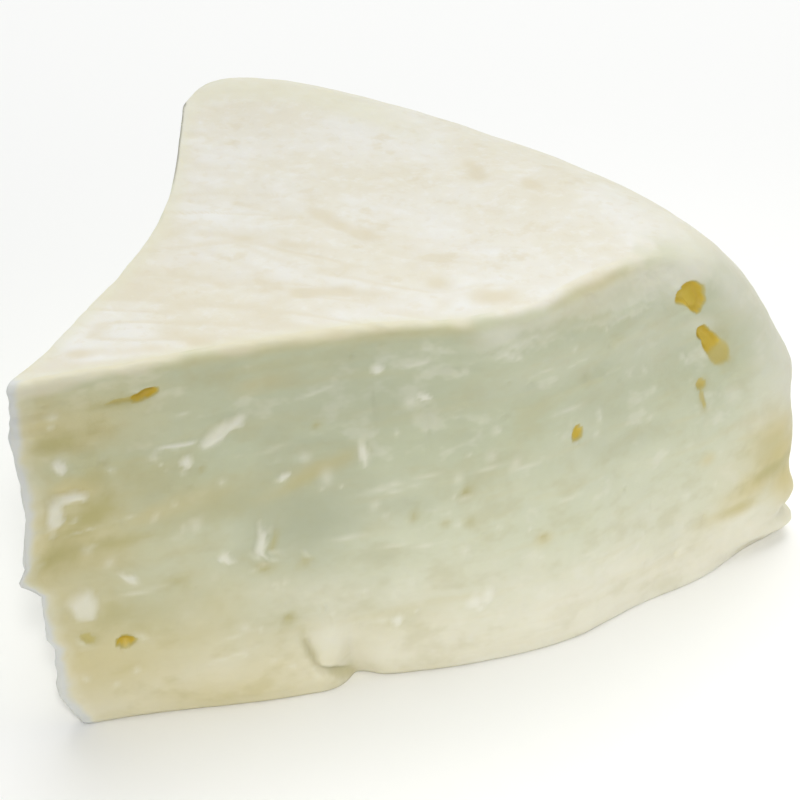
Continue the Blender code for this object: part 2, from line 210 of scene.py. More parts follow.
# Small dull pits, with their depth in mm
pits = (
    (25.4, 16.7, 0.75, 0.4, 0.3, 0.0), (27.1, 9.8, 0.45, 0.45, 0.35, 0.0), (29.7, 16.5, 0.55, 0.35, 0.25, 0.0),
    (15.7, 16.4, 0.7, 0.4, 0.2, 0.0), (48.6, 21.7, 0.45, 0.4, 0.3, 0.0), (42.7, 20.0, 0.35, 0.4, 0.2, 0.0),
    (58.0, 13.6, 0.4, 0.35, 0.2, 0.0), (19.7, 29.4, 0.35, 0.3, 0.2, 0.0), (32.6, 32.3, 0.6, 0.35, 0.2, 20.0),
)

# Raised smears and chips of curd, with their lift in mm
smears = (
    (21.4, 32.7, 1.6, 1.0, 0.45, 30.0), (24.0, 33.9, 1.9, 0.8, 0.3, 22.0), (22.6, 33.4, 2.4, 0.8, 0.3, 26.0),
    (17.4, 32.6, 3.4, 0.3, 0.14, 4.0), (26.1, 19.2, 0.6, 2.2, 0.45, 0.0), (22.2, 18.2, 0.8, 1.0, 0.25, -10.0),
    (5.6, 28.5, 2.7, 0.75, 0.35, 3.0), (3.9, 26.5, 1.0, 2.5, 0.5, 2.0), (5.2, 32.5, 0.9, 1.1, 0.3, 6.0),
    (5.4, 14.8, 1.9, 2.0, 0.5, 45.0),
    (48.4, 8.4, 1.2, 0.9, 0.35, 20.0), (50.2, 8.8, 0.9, 1.2, 0.35, -20.0), (49.2, 7.4, 0.6, 0.6, 0.25, 0.0),
    (37.2, 28.5, 0.6, 1.6, 0.25, 6.0), (39.6, 7.3, 0.9, 0.8, 0.25, 10.0),
    (44.5, 33.9, 0.9, 0.5, 0.2, -30.0), (39.6, 37.7, 0.8, 0.6, 0.2, 0.0),
    (28.4, 26.9, 0.9, 0.5, 0.25, 25.0), (18.3, 30.4, 0.7, 0.8, 0.2, 20.0), (11.4, 17.6, 0.8, 0.6, 0.15, 0.0),
)

# Scored lines, with their depth in mm
scores = (
    (38.8, 32.2, 0.22, 3.6, 0.25, -2.0), (44.7, 30.2, 0.22, 3.8, 0.2, -2.0),
    (72.5, 22.0, 0.22, 3.4, 0.12, -3.0), (76.5, 20.0, 0.25, 3.0, 0.12, 2.0), (80.5, 19.0, 0.2, 3.4, 0.12, -2.0),
    (29.2, 5.0, 0.35, 2.2, 0.8, 18.0), (31.4, 2.2, 0.4, 2.5, 0.9, 54.0),
)

# Where the cut is painted warmer: painted shade in the left hollow, under the lip at the front corner and along the
# rounded top edge, partly an ochre tint of the curd; strength from 0 to 1, here and in the darker patches below
warmerShade = (
    (2.0, 36.5, 14.0, 5.0, 0.8, 0.0), (2.0, 22.0, 14.0, 10.0, 0.85, 0.0), (2.0, 8.0, 22.0, 8.0, 0.85, 0.0),
    (18.0, 1.0, 22.0, 7.0, 0.65, 0.0), (31.0, 26.6, 5.0, 1.0, 0.5, 20.0), (6.0, 29.0, 3.6, 2.2, 0.9, 0.0),
    (58.0, 13.6, 1.1, 0.9, 0.5, 0.0), (14.0, 25.0, 9.0, 2.0, 0.6, 12.0), (26.5, 37.5, 3.0, 1.0, 0.4, 8.0),
    (94.0, 12.0, 6.0, 4.5, 1.0, 0.0), (90.5, 9.6, 6.0, 2.6, 0.9, 6.0), (87.0, 7.2, 4.5, 1.3, 0.8, 6.0),
    (82.1, 15.3, 0.9, 0.8, 0.6, 0.0), (72.0, 40.2, 14.0, 1.3, 0.3, 0.0), (96.0, 8.0, 5.0, 3.0, 1.0, 0.0),
    (102.0, 8.0, 6.0, 3.5, 0.9, 0.0), (93.0, 15.0, 5.0, 3.0, 0.9, 0.0), (74.0, 41.3, 12.0, 0.9, 0.6, 0.0),
    (30.0, 41.4, 26.0, 0.8, 0.4, 0.0),
)
# Where the cut is painted darker ochre: painted shade in pits, scored lines, eyes and hollows, partly an ochre tint
deeperShade = (
    (4.7, 34.9, 3.4, 1.2, 0.9, 8.0), (7.9, 26.0, 1.9, 3.6, 1.0, -42.0), (4.2, 20.6, 3.6, 1.4, 1.0, 18.0),
    (10.5, 21.9, 5.5, 0.9, 0.75, 14.0), (8.4, 31.0, 2.2, 2.6, 0.6, -30.0), (25.4, 16.5, 1.1, 0.7, 1.0, 0.0),
    (27.5, 19.4, 0.45, 1.6, 0.75, 0.0), (29.9, 16.5, 0.8, 0.6, 0.7, 0.0), (15.7, 16.4, 1.0, 0.6, 0.6, 0.0),
    (4.9, 10.9, 1.3, 0.8, 0.8, 0.0), (27.1, 9.8, 0.8, 0.7, 0.9, 0.0), (10.9, 38.4, 2.6, 0.6, 0.7, 3.0),
    (8.5, 13.0, 2.6, 1.6, 0.6, 20.0), (29.2, 5.0, 0.5, 2.2, 0.8, 18.0), (31.6, 2.1, 0.6, 2.6, 0.9, 54.0),
    (48.6, 21.7, 0.7, 0.6, 0.8, 0.0), (42.7, 19.9, 0.6, 0.6, 0.7, 0.0), (46.1, 18.6, 0.6, 0.5, 0.6, 0.0),
    (48.9, 18.2, 0.9, 0.9, 0.5, 0.0), (82.1, 25.1, 1.0, 0.9, 0.9, 0.0), (81.9, 23.0, 0.5, 1.9, 0.6, 4.0),
    (86.4, 28.4, 1.7, 1.5, 0.7, 22.0), (93.5, 10.2, 4.5, 1.5, 0.9, 2.0), (30.0, 39.4, 10.0, 0.7, 0.25, 2.0),
    (72.0, 22.0, 0.9, 0.8, 0.2, 0.0), (14.0, 30.0, 8.0, 3.0, 0.35, -20.0), (12.0, 13.0, 6.0, 3.0, 0.3, 0.0),
    (20.0, 24.0, 8.0, 2.0, 0.3, 10.0), (32.6, 32.2, 0.8, 0.5, 0.7, 20.0), (19.7, 29.4, 0.6, 0.5, 0.7, 0.0),
    (58.0, 13.6, 0.6, 0.5, 0.6, 0.0), (31.0, 26.4, 4.6, 0.7, 0.45, 22.0), (92.0, 13.0, 3.5, 3.0, 0.45, 0.0),
    (87.0, 7.3, 2.6, 0.7, 0.45, 4.0),
)

# Patches of clean pale curd in the cut
paler = (
    (86.5, 5.8, 6.0, 0.9, 0.65, 4.0), (89.5, 39.0, 8.0, 2.6, 1.2, 0.0), (84.5, 32.6, 3.4, 1.0, 0.5, -10.0),
    (36.0, 3.0, 10.0, 2.2, 0.5, 0.0), (60.0, 4.0, 14.0, 4.0, 0.4, 4.0), (91.5, 25.5, 2.6, 1.6, 0.5, 0.0),
    (90.0, 17.5, 3.4, 1.5, 0.4, 0.0), (33.2, 26.0, 0.7, 1.0, 0.6, 0.0), (86.5, 22.5, 1.4, 1.1, 0.5, 0.0),
    (31.7, 6.2, 2.6, 2.2, 0.75, 0.0), (61.0, 34.5, 8.0, 2.6, 0.2, 0.0), (76.0, 34.0, 6.0, 3.5, 0.3, 0.0),
    (93.5, 25.0, 4.5, 8.0, 0.4, 0.0), (92.5, 35.0, 3.5, 4.0, 0.75, 0.0), (30.0, 12.0, 6.0, 2.5, 0.25, 0.0),
)

# Where the cut is duller and greyer
duller = (
    (31.0, 21.5, 9.0, 7.5, 0.85, 0.0), (14.0, 26.0, 8.0, 6.0, 0.4, 0.0), (12.0, 14.0, 12.0, 9.0, 0.4, 0.0),
    (38.0, 33.5, 12.0, 4.0, 0.35, 0.0), (24.0, 10.5, 12.0, 4.0, 0.35, 0.0), (69.0, 26.0, 6.0, 5.0, 0.25, 0.0),
)

# The dull band along the top of the front cut, above a low ridge: its lower edge as stations and heights, then
# where it starts and ends, lifts in mm, and how much paler it is painted: a painted highlight along the ridge and
# a paler curd tone over the band, partly painted light where it turns upwards
band = dict(
    edge=((48.0, 52.0, 57.0, 65.0, 73.0, 79.0, 85.0), (37.6, 37.9, 39.1, 38.7, 37.6, 37.0, 37.3)),
    start=(47.0, 55.0), end=(84.0, 88.0), ragged=0.5, ridgeHalf=0.5, ridgeLift=0.15,
    ridgeBase=0.7, ridgePatchy=0.6, shelf=0.7, shelfAbove=4.0, shelfBelow=6.0,
    ridgeHighlight=0.45, curd=0.5, upperCurd=0.1, upper=(1.0, 3.0), patchyCurd=0.2, curdFrom=(0.1, 1.2), curdFade=0.8,
    fadeHeight=(40.4, 41.6),
)

# Relief of the sides: lifts in mm, sizes of the noise across and upwards in mm, and where the cuts end
relief = dict(
    drag=0.07, dragSize=(11.0, 1.4), crumb=0.09, crumbSize=1.8, patchy=0.26, patchySize=(7.0, 3.6),
    rind=0.14, rindSize=5.0, rindCrumb=0.04, raggedScale=0.9, frontEnd=(88.0, 104.0), backStart=(-6.0, 2.0),
    colourEnd=110.0,
)

# Patches: where their edges fade, as a share of their radius, how much clean curd each kind shows, how ragged each
# kind is, and the same for the pale strip along the apex, a painted highlight on its rounded edge, in mm
patchLook = dict(
    eyeFloor=(0.55, 1.05), eyeRim=(0.75, 1.15), eyeLeast=0.25, smearRim=(0.4, 1.15), smearCurd=0.85,
    palerCurd=0.8, crumbCurd=0.45, eyeRagged=0.14, pitRagged=0.2, smearRagged=0.3, palerPatchy=0.4, warmPatchy=0.3,
    deepRagged=0.4, deepPatchy=0.2, dullPatchy=0.5, apexRagged=0.3, apexEdge=(0.9, 2.2), apexCurd=0.4,
    apexCurdRagged=0.6, apexCurdEdge=(1.5, 3.6),
)

# The skin's lower limit below the top and where its tones fade, in mm
skinEdge = dict(
    detailFade=(1.6, 0.2), footFade=0.8, below=0.5, belowAtApex=0.8, apex=(4.0, 12.0), ragged=0.5, raggedSize=3.5,
    soft=0.5, rimFade=(32.5, 38.5), outerShare=0.55, outer=(73.0, 82.0), nearShare=0.7, near=(38.0, 41.0),
    nearRings=(0.88, 1.0), nearEnd=(44.0, 56.0),
)

# Small things that are strewn over the cut: how many, and their smallest and largest half width in mm
strewn = dict(
    seed=23, pits=60, pitSize=(0.18, 0.45), crumbs=110, crumbSize=(0.22, 0.7), streaks=34, streakSize=(0.5, 2.6),
    leftShare=0.2, margin=6.0, front=(3.0, 84.0), heights=(2.0, 39.5), leastTall=0.18,
)


def strewnPatches():
    # seeded places on the two cuts, few of them on the left one
    rng = np.random.default_rng(strewn["seed"])

    def patches(count, size, flatness, strength, turn):
        onLeft = rng.random(count) < strewn["leftShare"]
        left = rng.uniform(corners[3] + strewn["margin"], outlineLength - strewn["margin"], count)
        station = np.where(onLeft, left, rng.uniform(*strewn["front"], count))
        height, wide = rng.uniform(*strewn["heights"], count), rng.uniform(*size, count)
        tall = np.maximum(wide * rng.uniform(*flatness, count), strewn["leastTall"])
        return zip(station, height, wide, tall, rng.uniform(*strength, count), rng.uniform(*turn, count))

    pits = list(patches(strewn["pits"], strewn["pitSize"], (0.6, 1.2), (0.15, 0.4), (-40.0, 40.0)))
    crumbs = list(patches(strewn["crumbs"], strewn["crumbSize"], (0.5, 1.3), (0.06, 0.2), (-60.0, 60.0)))
    streaks = list(patches(strewn["streaks"], strewn["streakSize"], (0.08, 0.16), (0.03, 0.1), (-4.0, 22.0)))
    return pits, crumbs + streaks


def patchRadius(station, height, patch, rough):
    # distance from a patch's middle in its own turned ellipse, 1 at its edge, made ragged by a given roughness
    middle, level, halfWide, halfTall, _, turn = patch
    turn = math.radians(turn)
    across, upward = station - middle, height - level
    wide = (across * math.cos(turn) + upward * math.sin(turn)) / halfWide
    tall = (upward * math.cos(turn) - across * math.sin(turn)) / halfTall
    return np.hypot(wide, tall) * (1.0 + rough)


def stretched(points, across, upward):
    # coordinates that make noise broad in plan and narrow in height
    return points * np.array([1.0 / across, 1.0 / across, 1.0 / upward])


def blots(station, height, patches, rough):
    # soft blots: the strongest of the patches, each a bell over its own radius
    bells = [patch[4] * np.exp(-patchRadius(station, height, patch, rough) ** 2) for patch in patches]
    return np.max(bells, axis=0)


def joined(station, height, patches, rough):
    # minus the log of the sum of exponentials: distance from the nearest patch, smoothed where patches meet;
    # the second result is the strength there
    sharpness, farthest = 7.0, 8.0
    radii = np.array([patchRadius(station, height, patch, rough) for patch in patches])
    weights = np.exp(-sharpness * np.minimum(radii, farthest))
    strengths = np.array([patch[4] for patch in patches])[:, None, None]
    return -np.log(weights.sum(axis=0)) / sharpness, (weights * strengths).sum(axis=0) / weights.sum(axis=0)


def bandRelief(station, height, ragged, patchy):
    # a bell-shaped ridge along the band's lower edge, a shelf that falls off above and below it, and their paler
    # tone: a painted highlight on the ridge, and curd over the band that is partly painted light
    b = band
    inBand = smoothStep(station, *b["start"]) * (1.0 - smoothStep(station, *b["end"]))
    above = height - np.interp(station, *b["edge"]) - b["ragged"] * ragged
    ridge = np.exp(-(above / b["ridgeHalf"]) ** 2) * inBand * (b["ridgeBase"] + b["ridgePatchy"] * patchy)
    shelf = np.where(above > 0.0, 1.0 - above / b["shelfAbove"], np.exp(-(above / b["shelfBelow"]) ** 2))
    curd = b["curd"] + b["upperCurd"] * smoothStep(above, *b["upper"]) + b["patchyCurd"] * patchy
    curd = curd * smoothStep(above, *b["curdFrom"])
    curd = curd * inBand * (1.0 - b["curdFade"] * smoothStep(height, *b["fadeHeight"]))
    return (b["ridgeLift"] * ridge, b["shelf"] * inBand * shelf), np.maximum(b["ridgeHighlight"] * ridge, curd)


def sideDetail(station, height, points):
    # fine relief of the sides and the masks that colour them: layers of noise, then patches taken away or added
    r, look = relief, patchLook
    backStart = [corners[3] + offset for offset in r["backStart"]]
    onCut = 1.0 - smoothStep(station, *r["frontEnd"]) + smoothStep(station, *backStart)
    ragged = layeredNoise(points * r["raggedScale"], seeds["ragged"], 3)
    drag = layeredNoise(stretched(points, *r["dragSize"]), seeds["drag"], 3)
    crumb = layeredNoise(points / r["crumbSize"], seeds["crumb"], 3)
    patchy = layeredNoise(stretched(points, *r["patchySize"]), seeds["patchy"], 3)
    out = onCut * (r["drag"] * drag + r["crumb"] * crumb + r["patchy"] * patchy)
    rind = layeredNoise(points / r["rindSize"], seeds["rind"], 3)
    out = out + (1.0 - onCut) * (r["rind"] * rind + r["rindCrumb"] * crumb)
    smallPits, raised = strewnPatches()
    curd = np.zeros_like(out)
    radius, depth = joined(station, height, eyes, look["eyeRagged"] * ragged)
    out = out - depth * (1.0 - smoothStep(radius, *look["eyeFloor"]))
    eye = np.minimum(1.0, look["eyeLeast"] + depth) * (1.0 - smoothStep(radius, *look["eyeRim"]))
    for patch in (*pits, *smallPits):
        out = out - patch[4] * np.exp(-patchRadius(station, height, patch, look["pitRagged"] * ragged) ** 2)
    for patch in smears:
        lift = 1.0 - smoothStep(patchRadius(station, height, patch, look["smearRagged"] * ragged), *look["smearRim"])
        out = out + patch[4] * lift
        curd = np.maximum(curd, look["smearCurd"] * lift)
    curd = np.maximum(curd, look["palerCurd"] * blots(station, height, paler, look["palerPatchy"] * patchy))
    for patch in raised:
        lift = np.exp(-patchRadius(station, height, patch, look["smearRagged"] * ragged) ** 2)
        out = out + patch[4] * lift
        curd = np.maximum(curd, lift * look["crumbCurd"])
    for patch in scores:
        out = out - patch[4] * np.exp(-patchRadius(station, height, patch, look["pitRagged"] * ragged) ** 2)
    bandOut, bandPaintedLight = bandRelief(station, height, ragged, patchy)
    out, curd = out + bandOut[0] + bandOut[1], np.maximum(curd, bandPaintedLight)
    # a pale grey strip along the apex, painted as a highlight on the rounded edge
    apex = np.minimum(station, outlineLength - station)
    edge = 1.0 - smoothStep(apex + look["apexRagged"] * ragged, *look["apexEdge"])
    apexCurd = 1.0 - smoothStep(apex + look["apexCurdRagged"] * ragged, *look["apexCurdEdge"])
    curd = np.maximum(curd, look["apexCurd"] * apexCurd)
    front = (station < r["colourEnd"]).astype(float)
    # warmer patches: painted shade in hollows, under the lip and along the top edge, partly an ochre tint
    warm = blots(station, height, warmerShade, look["warmPatchy"] * patchy) * front
    deepRough = look["deepRagged"] * ragged + look["deepPatchy"] * patchy
    # darker ochre: painted shade in pits, scored lines, eyes and hollows, partly an ochre tint
    deep = blots(station, height, deeperShade, deepRough) * front
    dull = blots(station, height, duller, look["dullPatchy"] * patchy) * front
    return out, dict(eye=eye, curd=curd, warm=warm, deep=deep, dull=dull, edge=edge), onCut


def sideRelief(station, height, points):
    # waves, swellings and the proud foot left of the crack, in mm outwards
    w = wedge
    out = unevenness["cutWave"] * waves(points, unevenness["waveSeed"])
    out = out * np.clip(height / unevenness["footReach"], unevenness["footLeast"], 1.0)
    for middle, level, halfLong, halfTall, depth in swells:
        out = out + depth * np.exp(-(((station - middle) / halfLong) ** 2 + ((height - level) / halfTall) ** 2))
    leftPart = 1.0 / (1.0 + np.exp((station - w["crackStation"]) / w["crackWidth"]))
    step = w["crackStep"] * leftPart * np.clip(1.0 - height / w["crackReach"], 0.0, 1.0)
    return out + np.where((station >= 0.0) & (station < corners[1]), step, 0.0)


def topRelief(plan):
    # rise and fall of the top in mm, the same through its thickness
    level = np.concatenate([plan, np.zeros(plan.shape[:-1] + (1,))], axis=-1)
    rise = unevenness["topWave"] * waves(level, unevenness["waveSeed"] + 1)
    for x, y, reach, lift in topSwells:
        rise = rise + lift * np.exp(-(np.linalg.norm(plan - (x, y), axis=-1) / reach) ** 2)
    return rise


# Single creases of the top: place in plan, half length, half width, direction in degrees, depth in mm
creases = (
    (46.3, 12.5, 8.5, 1.6, -85.0, 0.4), (49.0, 9.5, 6.0, 1.5, 10.0, 0.2), (29.5, 15.8, 17.0, 1.0, -19.0, 0.25),
    (18.0, 8.8, 8.0, 1.0, -50.0, 0.25),
    (12.5, 5.2, 8.0, 0.9, -15.0, 0.22), (55.6, 40.0, 3.8, 0.9, 81.0, 0.25), (60.1, 32.5, 3.8, 0.9, 81.0, 0.25),
    (28.0, 27.5, 9.5, 1.1, -27.0, 0.2), (40.3, 27.7, 8.5, 1.1, -49.0, 0.2), (36.0, 4.0, 9.0, 0.9, -12.0, 0.2),
)


# The print of a draining cloth on the top: two families of folds, each with its direction in degrees, size in mm,
# seed, least strength and added strength towards the apex; then bends, depths and sizes in mm
cloth = dict(
    families=((-17.0, 4.2, 91, 0.2, 0.45), (-46.0, 5.0, 93, 0.15, 0.3)), fade=(38.0, 78.0), fadeSlant=0.5,
    bend=1.4, bendLength=9.0, stretch=4.5, foldHalf=0.24, foldDepth=0.15,
    brokenSize=4.0, brokenLevel=2.5, brokenBase=0.55, brokenShare=0.6, creaseBend=0.5, creaseBendLength=3.0,
    creaseShare=0.6, valleyHalf=1.5, crestShare=0.6, crestAside=3.0, crestHalf=2.0, creaseMark=1.3,
    grainSize=5.0, grainLevel=5.5, grain=0.13, sink=0.05,
)


def turned(plan, degrees):
    # distances along a direction and beside it
    turn = math.radians(degrees)
    return plan @ np.array([math.cos(turn), math.sin(turn)]), plan @ np.array([-math.sin(turn), math.cos(turn)])


def onPlane(plan, size, level):
    # noise coordinates of a place in plan, at one level of the noise
    return np.stack([plan[..., 0] / size, plan[..., 1] / size, np.full(plan.shape[:-1], level)], axis=-1)


def folds(plan, degrees, across, seed):
    # bells along the zero lines of noise that is stretched along a direction and bent by a sine
    along, aside = turned(plan, degrees)
    bent = aside + cloth["bend"] * np.sin(along / cloth["bendLength"] + seed)
    grid = np.stack([along / (across * cloth["stretch"]), bent / across, np.full_like(along, 0.5)], axis=-1)
    return np.exp(-(layeredNoise(grid, seed, 2) / cloth["foldHalf"]) ** 2)


def clothPrint(plan):
    # grain, less the folds, plus valleys with a crest beside them, in mm; the second result marks folds and valleys,
    # where shade is painted into the skin's colour
    c = cloth
    middle = 1.0 - smoothStep(plan[..., 0] + c["fadeSlant"] * plan[..., 1], *c["fade"])
    fold = np.maximum(*(folds(plan, *family[:3]) * (family[3] + family[4] * middle) for family in c["families"]))
    rise = -c["foldDepth"] * fold
    broken = layeredNoise(onPlane(plan, c["brokenSize"], c["brokenLevel"]), seeds["broken"], 2)
    for x, y, halfLong, halfWide, degrees, depth in creases:
        along, aside = turned(plan, degrees)
        middleAlong, middleAside = turned(np.array([x, y]), degrees)
        bend = c["creaseBend"] * np.sin(along / c["creaseBendLength"])
        along, aside = along - middleAlong, aside - middleAside + bend
        reach = np.exp(-(along / halfLong) ** 4) * (c["brokenBase"] + c["brokenShare"] * broken)
        valley = np.exp(-(aside / (c["valleyHalf"] * halfWide)) ** 2) * reach
        crest = np.exp(-((aside - c["crestAside"] * halfWide) / (c["crestHalf"] * halfWide)) ** 2)
        rise = rise + c["creaseShare"] * depth * (c["crestShare"] * crest * reach - valley)
        fold = np.maximum(fold, c["creaseMark"] * valley)
    grain = layeredNoise(onPlane(plan, c["grainSize"], c["grainLevel"]), seeds["cloth"], 4)
    return c["grain"] * grain + rise - c["sink"], fold


def outerStrip(plan):
    # how near the rim a place of the top is: a smooth step of its distance from the wheel's centre
    # the rim tone is painted on this strip: darker towards the far rim, partly painted shade where the top turns down
    # over the shoulder
    return skinEdge["outerShare"] * smoothStep(np.linalg.norm(plan, axis=-1), *skinEdge["outer"])


def sidePoints(station, height):
    # outline at each height, pushed outwards by the relief and lifted near the top
    s = skinEdge
    plan = softOutline(station, height)
    reach = fineness["tangentReach"]
    tangent = softOutline(station + reach, height) - softOutline(station - reach, height)
    tangent /= np.linalg.norm(tangent, axis=-1, keepdims=True)
    outward = np.stack([tangent[..., 1], -tangent[..., 0]], axis=-1)
    flat = np.concatenate([plan, height[..., None]], axis=-1)
    detail, masks, onCut = sideDetail(station, height, flat)
    nearTop = 1.0 - smoothStep(height, *(wedge["height"] - down for down in s["detailFade"]))
    nearFoot = smoothStep(height, 0.0, s["footFade"])
    out = sideRelief(station, height, flat) + detail * nearFoot * nearTop
    plan = plan + outward * out[..., None]
    lift = np.clip(1.0 - (wedge["height"] - height) / unevenness["liftDepth"], 0.0, 1.0)
    crease, fold = clothPrint(plan)
    level = height + topRelief(plan) * lift + crease * lift ** 2
    edge = wedge["height"] - s["below"] - s["belowAtApex"] * (1.0 - smoothStep(station, *s["apex"]))
    edge = edge + s["ragged"] * layeredNoise(flat / s["raggedSize"], seeds["skinEdge"], 2)
    onTop = smoothStep(height - edge, -s["soft"], s["soft"])
    masks["skin"] = np.maximum(1.0 - onCut, onTop)
    # rim tone: the rind's own tone on the rim wall and painted shade on the far shoulder; near the front, painted
    # shade where the top rounds over into the cut
    rim = (1.0 - onCut) * np.maximum(1.0 - smoothStep(height, *s["rimFade"]), outerStrip(plan))
    nearTopEdgeShade = s["nearShare"] * smoothStep(height, *s["near"]) * (1.0 - smoothStep(plan[..., 0], *s["nearEnd"]))
    masks["rim"] = np.maximum(rim, nearTopEdgeShade)
    # folds and crease valleys of the top, where shade is painted into the skin
    masks["fold"] = fold * lift
    return np.concatenate([plan, level[..., None]], axis=-1), masks


def outlineStations():
    # stations by equal steps of a density: higher on the front cut and the left cut, with bells where columns crowd
    f = fineness
    fine = np.linspace(0.0, outlineLength, f["countedAt"])
    density = f["plain"] + f["onFront"] * (1.0 - smoothStep(fine, *f["frontEnd"]))
    density = density + f["onBack"] * smoothStep(fine, *f["backStart"])
    for middle, reach, gain in crowded:
        density += gain * np.exp(-((fine - middle) / reach) ** 2)
    count = np.concatenate([[0.0], np.cumsum((density[1:] + density[:-1]) / 2.0)])
    return np.interp(np.arange(f["columns"]) / f["columns"] * count[-1], count, fine)


def rowHeights():
    # steps up the wall that widen by a power, then equal turns of a quarter circle over the shoulder
    start = wedge["height"] - wedge["shoulderDown"]
    wall = start * np.linspace(0.0, 1.0, fineness["wallRows"], endpoint=False) ** fineness["footCrowding"]
    turn = np.linspace(0.0, math.pi / 2.0, fineness["shoulderRows"])
    return np.concatenate([wall, start + wedge["shoulderDown"] * np.sin(turn)])


def closedSurface(name, rings, lowPole, highPole, masks):
    # rings of points joined by quads, the first and last closed to a pole by triangles
    rows, columns = rings.shape[:2]
    points = np.concatenate([rings.reshape(-1, 3), [lowPole, highPole]])
    row, column = np.meshgrid(np.arange(rows - 1), np.arange(columns), indexing="ij")
    right = (column + 1) % columns
    quads = np.stack([
        row * columns + column, row * columns + right, (row + 1) * columns + right, (row + 1) * columns + column,
    ], axis=-1).reshape(-1, 4)
    here = np.arange(columns)
    after = (here + 1) % columns
    last = (rows - 1) * columns
    lowFan = np.stack([after, here, np.full(columns, rows * columns)], axis=-1)
    highFan = np.stack([last + here, last + after, np.full(columns, rows * columns + 1)], axis=-1)
    mesh = bpy.data.meshes.new(name)
    mesh.from_pydata(points.tolist(), [], quads.tolist() + lowFan.tolist() + highFan.tolist())
    for maskName, values in masks.items():
        layer = mesh.attributes.new(maskName, "FLOAT", "POINT")
        layer.data.foreach_set("value", np.concatenate([values.ravel(), values[0, :1], values[-1, :1]]))
    mesh.shade_smooth()
    piece = bpy.data.objects.new(name, mesh)
    bpy.context.scene.collection.objects.link(piece)
    return piece


def buildCheese():
    # foot rings from the middle outwards, the side rows, then top rings back to the middle
    station, height = np.meshgrid(outlineStations(), rowHeights())
    sides, masks = sidePoints(station, height)
    footEdge, topEdge = sides[0], sides[-1]
    footMiddle = np.append(footEdge[:, :2].mean(axis=0), 0.0)
    topMiddle = topEdge[:, :2].mean(axis=0)
    scales = np.linspace(0.0, 1.0, fineness["footRings"] + 1)[1:-1, None, None]
    foot = footMiddle + (footEdge - footMiddle) * scales
    foot[..., 2] = 0.0
    scales = np.linspace(1.0, 0.0, fineness["topRings"] + 2)[1:, None, None]
    topPlan = topMiddle + (topEdge[:, :2] - topMiddle) * scales
    crease, fold = clothPrint(topPlan)
    level = wedge["height"] + topRelief(topPlan) + crease
    top = np.concatenate([topPlan, level[..., None]], axis=-1)
    rings = np.concatenate([foot, sides, top[:-1]])

    # the near edge of the top is painted in the rim tone: painted shade where the top rounds over into the cut
    nearEdgeShade = skinEdge["nearShare"] * smoothStep(scales[..., 0], *skinEdge["nearRings"])
    nearEdgeShade = nearEdgeShade * (1.0 - smoothStep(topPlan[..., 0], *skinEdge["nearEnd"]))
    onTop = dict(skin=np.ones_like(fold), fold=fold, rim=np.maximum(outerStrip(topPlan), nearEdgeShade))

    def spread(name, values):
        ofFoot = np.full(foot.shape[:2], 1.0 if name == "skin" else 0.0)
        return np.concatenate([ofFoot, values, onTop.get(name, np.zeros_like(fold))[:-1]])

    masks = {name: spread(name, values) for name, values in masks.items()}
    low, high = rings.min(axis=(0, 1)), rings.max(axis=(0, 1))
    cadLow, cadHigh = (np.array(corner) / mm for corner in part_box("cheese"))
    fit = np.minimum((cadHigh - cadLow) / (high - low), 1.0)  # the visible wedge stays inside the solid's box
    shift = (cadLow + cadHigh) / 2.0 - (low + high) / 2.0 * fit
    shift[2] = 0.0
    placed = [(points * fit + shift) * mm for points in (rings, footMiddle, top[-1, 0])]
    return closedSurface("cheeseWedge", *placed, masks), shift


cheese, shift = buildCheese()
print("cheese built", len(cheese.data.polygons), "faces, shift", np.round(shift, 3))


class Wire:
    # a socket that adds Math nodes where it is used in an expression
    def __init__(self, sheet, socket):
        self.sheet, self.socket = sheet, socket

    def math(self, operation, first, second):
        return self.sheet.add("ShaderNodeMath", dict(operation=operation), {0: first, 1: second})

    def __add__(self, other):
        return self.math("ADD", self, other)

    def __sub__(self, other):
        return self.math("SUBTRACT", self, other)

    def __rsub__(self, other):
        return self.math("SUBTRACT", other, self)

    def __mul__(self, other):
        return self.math("MULTIPLY", self, other)

    __radd__ = __add__
    __rmul__ = __mul__


